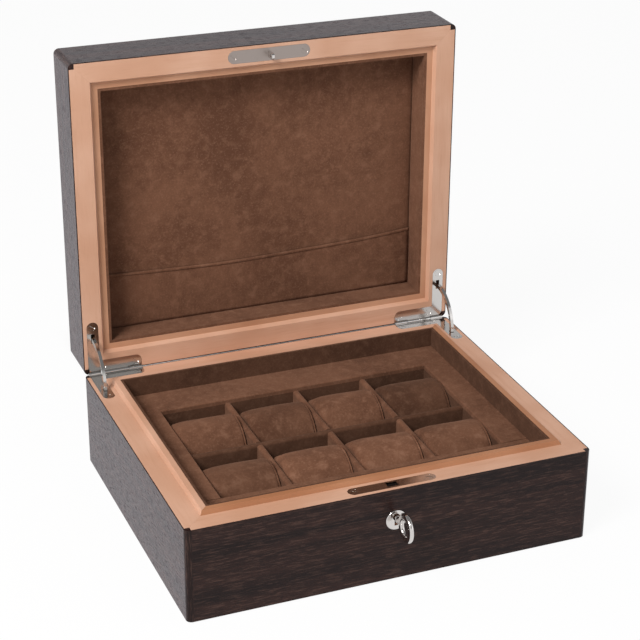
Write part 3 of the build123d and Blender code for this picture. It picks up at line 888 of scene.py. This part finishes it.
@dataclass(frozen=True)
class CaseFinish:
    """Dresses the wooden, lined and metal pieces that keep their CAD shape."""

    nodes: dict[str, bpy.types.Object]

    def dress(self, material: bpy.types.Material, *nodes: str) -> None:
        """Give CAD nodes their material.

        Args:
            material: Their finish.
            nodes: The nodes' names.
        """
        for node in nodes:
            slots = self.nodes[node].data.materials
            slots.clear()
            slots.append(material)

    def wood(self) -> None:
        """Dress the light boards, so that grain runs along each one, with painted shade on the front
        and right lips.
        """
        level = (Grain.ALONG_X, Grain.ALONG_Y)
        rim = {grain: LightWood(grain, WoodTones.RIM).make() for grain in (*level, Grain.ALONG_Z)}
        shaded_lip = {grain: LightWood(grain, WoodTones.LIP).make() for grain in level}
        for side in SIDES:
            across = side in ("front", "back")
            along = Grain.ALONG_X if across else Grain.ALONG_Y
            upright = Grain.ALONG_X if across else Grain.ALONG_Z
            # The front and right lips get the darker copy of the rim wood as painted shade; the left
            # and back lips keep the rim wood.
            shaded_side = side in ("front", "right")
            self.dress(rim[along], f"base_{side}_board")
            self.dress(shaded_lip[along] if shaded_side else rim[along], f"lip_{side}_board")
            self.dress(rim[upright], f"lid_{side}_board")
        self.dress(LightWood(Grain.ROUND_LID, WoodTones.STRIP).make(), "lid_frame_strips")

    def veneer(self) -> None:
        """Dress the dark outside, so that grain runs round the box and up its corners."""
        veneered = {
            "base_veneers": Grain.ROUND_BASE,
            "lid_side_veneers": Grain.ROUND_LID,
            "lid_top_veneer": Grain.ALONG_X,
            "base_corner_posts": Grain.ALONG_Z,
            "lid_corner_posts": Grain.ALONG_Y,
        }
        for node, grain in veneered.items():
            self.dress(DarkVeneer(grain).make(), node)

    def lining(self, suede: bpy.types.Material) -> None:
        """Dress the suede-covered boards, with a darker suede as painted shade inside the base's deep
        well, and the hidden boards.

        Args:
            suede: The lining's finish.
        """
        ledge = [f"ledge_{side}_board" for side in SIDES]
        self.dress(suede, "column_dividers", "lid_liners", *ledge)
        # painted shade: the liners, tray walls, tray floor and row divider in the base's deep well get
        # the suede at a darker tone
        shaded_suede = Suede("shaded_wall_suede", tone=0.56).make()
        self.dress(shaded_suede, "wall_liners", "tray_floor", "tray_walls", "row_divider")
        board = Felt("plain_board", (0.32, 0.22, 0.14), (0.42, 0.30, 0.20), fleck_scale=300.0).make()
        self.dress(board, "bottom_panel", "lid_top_panel")
        felt = Felt("black_felt", (0.006, 0.005, 0.005), (0.02, 0.018, 0.017), fleck_scale=900.0).make()
        self.dress(felt, "bottom_felt")

    def metal(self) -> None:
        """Dress the hinges, stays, lock and key."""
        polished = Metal("polished_steel", colour=(0.58, 0.56, 0.54), roughness=0.15).make()
        bright = Metal("bright_steel", colour=(0.64, 0.61, 0.59), roughness=0.12).make()
        satin = Metal("satin_steel", colour=(0.35, 0.30, 0.275), roughness=0.34, brushing=1.0).make()
        parts = ("base_leaf", "lid_leaf", "stay")
        hinges = [f"{side}_{part}" for side in ("left", "right") for part in parts]
        screws = ("base_leaf_screws", "lid_leaf_screws", "lock_screws")
        self.dress(polished, *hinges, "hinge_pins", *screws, "lock_faceplate")
        self.dress(bright, "escutcheon", "key", "strike_hook")
        self.dress(satin, "strike_plate", "strike_screws", "lock_case", "lock_bolt")


@dataclass(frozen=True)
class PhotoCamera:
    """The camera at the photograph's place, in metres of the row's frame."""

    place: Point = (-0.52497, -1.28704, 0.80919)
    right: Point = (0.91764, -0.39695, 0.01901)
    down: Point = (-0.15728, -0.40668, -0.89993)
    focal_pixels: float = 1897.39
    centre_x: float = 381.72
    centre_y: float = 352.28
    frame_pixels: float = 640.0
    sensor: float = 36.0
    clip_end: float = 50.0

    def build(self) -> None:
        """Create the camera and make it the scene's own."""
        data = bpy.data.cameras.new("photo_camera")
        data.sensor_width = self.sensor
        data.lens = self.focal_pixels * self.sensor / self.frame_pixels
        half = self.frame_pixels / 2
        data.shift_x = (half - self.centre_x) / self.frame_pixels
        data.shift_y = (self.centre_y - half) / self.frame_pixels
        data.clip_end = self.clip_end
        right = Vector(self.right).normalized()
        up = (-Vector(self.down)).normalized()
        turn = Matrix((right, up, right.cross(up))).transposed().to_4x4()
        camera = bpy.data.objects.new("photo_camera", data)
        camera.matrix_world = Matrix.Translation(self.place) @ turn
        bpy.context.scene.collection.objects.link(camera)
        bpy.context.scene.camera = camera


def seen_rays(tree: bpy.types.NodeTree) -> Shade:
    """A value of 1 for rays of the camera, of reflections and of glass, and 0 for others.

    Args:
        tree: The node tree that it goes in.

    Returns:
        The value.
    """
    path = add_node(tree, "ShaderNodeLightPath", {})
    names = ("Is Camera Ray", "Is Glossy Ray", "Is Transmission Ray")
    camera, glossy, glass = (Shade(tree, path.outputs[name]) for name in names)
    return camera.math("MAXIMUM", glossy).math("MAXIMUM", glass)


@dataclass(frozen=True)
class Lamp:
    """One soft square lamp that faces the box, with lengths in metres and power in watts."""

    name: str
    place: Point
    size: float
    power: float
    colour: Colour
    aim: Point = (0.0, 0.0, 0.1)

    def hang(self) -> None:
        """Create the lamp at its place."""
        data = bpy.data.lights.new(self.name, "AREA")
        data.shape = "SQUARE"
        data.size = self.size
        data.energy = self.power
        data.color = self.colour
        turn = (Vector(self.aim) - Vector(self.place)).to_track_quat("-Z", "Y").to_matrix().to_4x4()
        lamp = bpy.data.objects.new(self.name, data)
        lamp.matrix_world = Matrix.Translation(self.place) @ turn
        bpy.context.scene.collection.objects.link(lamp)


@dataclass(frozen=True)
class Studio:
    """A white floor under a soft lamp at the upper left, with little other light.

    The floor behind the box keeps its full shadow. That patch fades in and out over four spans.
    """

    key: Lamp = Lamp("key_lamp", (-1.5, -0.95, 1.85), size=0.9, power=59.0, colour=(1.0, 0.975, 0.96))
    fill: Lamp = Lamp("fill_lamp", (1.6, -1.5, 1.2), size=1.6, power=6.0, colour=(0.96, 0.96, 1.0))
    floor_half: float = 6.0
    floor_white: float = 0.94
    patch_left: Span = (-0.135, -0.10)
    patch_right: Span = (0.20, 0.245)
    patch_near: Span = (0.10, 0.16)
    patch_far: Span = (0.32, 0.42)
    world_fill: float = 0.30
    dim_above: float = 0.75
    dim_heights: Span = (0.22, 0.62)

    def floor(self) -> None:
        """Lay the floor, which is white but for a light shadow."""
        mesh = bmesh.new()
        bmesh.ops.create_grid(mesh, x_segments=1, y_segments=1, size=self.floor_half)
        bench = Bench("studio_floor")
        bench.set(Base_Color=(0.92, 0.92, 0.92, 1.0), Roughness=0.8)
        white = bench.add("ShaderNodeEmission", {}, Color=WHITE, Strength=1.0)
        share = seen_rays(bench.tree) * (1.0 - self.shadow(bench)) * self.floor_white
        blend = bench.add("ShaderNodeMixShader", {}, Fac=share)
        connect(bench.tree, blend.inputs[1], bench.shader.outputs[0])
        connect(bench.tree, blend.inputs[2], white.outputs[0])
        connect(bench.tree, bench.tree.nodes["Material Output"].inputs["Surface"], blend.outputs[0])
        floor = new_piece("studio_floor", mesh, bench.material)

    def shadow(self, bench: Bench) -> Shade:
        """A value of 1 where the floor behind the box keeps its full shadow.

        Args:
            bench: The floor's material.

        Returns:
            The value, which fades to 0 round that place.
        """
        parts = bench.add("ShaderNodeSeparateXYZ", {}, Vector=bench.place())
        across = Shade(bench.tree, parts.outputs["X"])
        behind = Shade(bench.tree, parts.outputs["Y"])
        width = across.between(*self.patch_left) * (1.0 - across.between(*self.patch_right))
        return width * behind.between(*self.patch_near) * (1.0 - behind.between(*self.patch_far))

    def world(self) -> None:
        """Surround the box with white at eye level, dimmer above, and softer light elsewhere."""
        world = bpy.data.worlds.new("studio_world")
        world.use_nodes = True
        tree = world.node_tree
        direction = add_node(tree, "ShaderNodeTexCoord", {}).outputs["Generated"]
        parts = add_node(tree, "ShaderNodeSeparateXYZ", {}, Vector=direction)
        height = Shade(tree, parts.outputs["Z"])
        shown = 1.0 - height.between(*self.dim_heights) * self.dim_above
        strength = seen_rays(tree) * (shown - self.world_fill) + self.world_fill
        background = tree.nodes["Background"]
        connect(tree, background.inputs["Color"], WHITE)
        connect(tree, background.inputs["Strength"], strength)
        bpy.context.scene.world = world

    def build(self) -> None:
        """Set up the floor, the world and the lamps."""
        self.floor()
        self.world()
        self.key.hang()
        self.fill.hang()
        bpy.context.scene.view_settings.view_transform = "Standard"


def main() -> None:
    """Build the looks of the box, piece by piece."""
    logging.basicConfig(level=logging.INFO, format="%(message)s")
    PhotoCamera().build()
    Studio().build()
    lining = Suede().make()
    case = CaseFinish(frame["nodes"])
    case.wood()
    case.veneer()
    case.lining(lining)
    case.metal()
    log.info("dressed %d nodes", len(frame["nodes"]))
    LidLining(lining).build()
    PillowSet().build()


if __name__ == "__main__":
    main()
